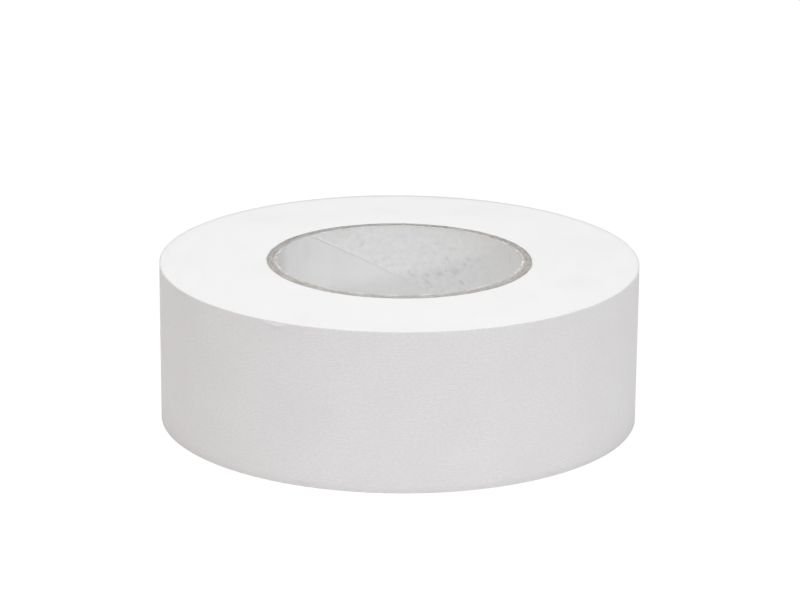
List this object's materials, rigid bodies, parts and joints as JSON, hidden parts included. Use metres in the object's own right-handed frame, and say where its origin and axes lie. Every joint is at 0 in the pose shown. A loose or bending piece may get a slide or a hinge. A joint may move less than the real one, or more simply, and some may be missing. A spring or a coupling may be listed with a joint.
{
  "type": "roll of gaffer tape",
  "caption": "Roll of white cloth gaffer tape wound on a spiral-wound paperboard core, with an open bore and a free end that peels off the outside.",
  "frame": {"origin": "on the axis of the core's bore, at the face that the roll lies on", "axes": "+Z along the axis of the roll, upwards from the face it lies on; +X to the right and +Y away from the picture's camera"},
  "size_m": [0.1484, 0.1486, 0.05],
  "materials": {
    "tape_cloth": "matte",
    "wound_tape": "matte",
    "adhesive": "satin",
    "liner_paper": "matte",
    "chipboard": "matte",
    "jacket_paper": "matte"
  },
  "bodies": {
    "roll": {"core_liner": "liner_paper", "core_ply_1": "chipboard", "core_ply_2": "chipboard", "core_ply_3": "chipboard", "core_ply_4": "chipboard", "core_jacket": "jacket_paper", "tape_pack": "wound_tape", "outer_turn_adhesive": "adhesive", "outer_turn_cloth": "tape_cloth"},
    "tail_1": {"tail_adhesive_1": "adhesive", "tail_cloth_1": "tape_cloth"},
    "tail_2": {"tail_adhesive_2": "adhesive", "tail_cloth_2": "tape_cloth"},
    "tail_3": {"tail_adhesive_3": "adhesive", "tail_cloth_3": "tape_cloth"},
    "tail_4": {"tail_adhesive_4": "adhesive", "tail_cloth_4": "tape_cloth"},
    "tail_5": {"tail_adhesive_5": "adhesive", "tail_cloth_5": "tape_cloth"}
  },
  "joints": [
    {"name": "tail_peel", "type": "hinge", "parent": "roll", "child": "tail_1", "pos_m": [-0.01757, 0.07237, 0.025], "axis": [0, 0, -1], "range_deg": [0, 30]},
    {"name": "tail_bend_2", "type": "hinge", "parent": "tail_1", "child": "tail_2", "pos_m": [-0.02901, 0.0686, 0.025], "axis": [0, 0, -1], "range_deg": [0, 30]},
    {"name": "tail_bend_3", "type": "hinge", "parent": "tail_2", "child": "tail_3", "pos_m": [-0.03969, 0.06304, 0.025], "axis": [0, 0, -1], "range_deg": [0, 30]},
    {"name": "tail_bend_4", "type": "hinge", "parent": "tail_3", "child": "tail_4", "pos_m": [-0.04933, 0.05583, 0.025], "axis": [0, 0, -1], "range_deg": [0, 30]},
    {"name": "tail_bend_5", "type": "hinge", "parent": "tail_4", "child": "tail_5", "pos_m": [-0.05768, 0.04716, 0.025], "axis": [0, 0, -1], "range_deg": [0, 30]}
  ],
  "couplings": [
    {"joint": "tail_bend_2", "follows": "tail_peel", "ratio": 1},
    {"joint": "tail_bend_3", "follows": "tail_peel", "ratio": 1},
    {"joint": "tail_bend_4", "follows": "tail_peel", "ratio": 1},
    {"joint": "tail_bend_5", "follows": "tail_peel", "ratio": 1}
  ]
}
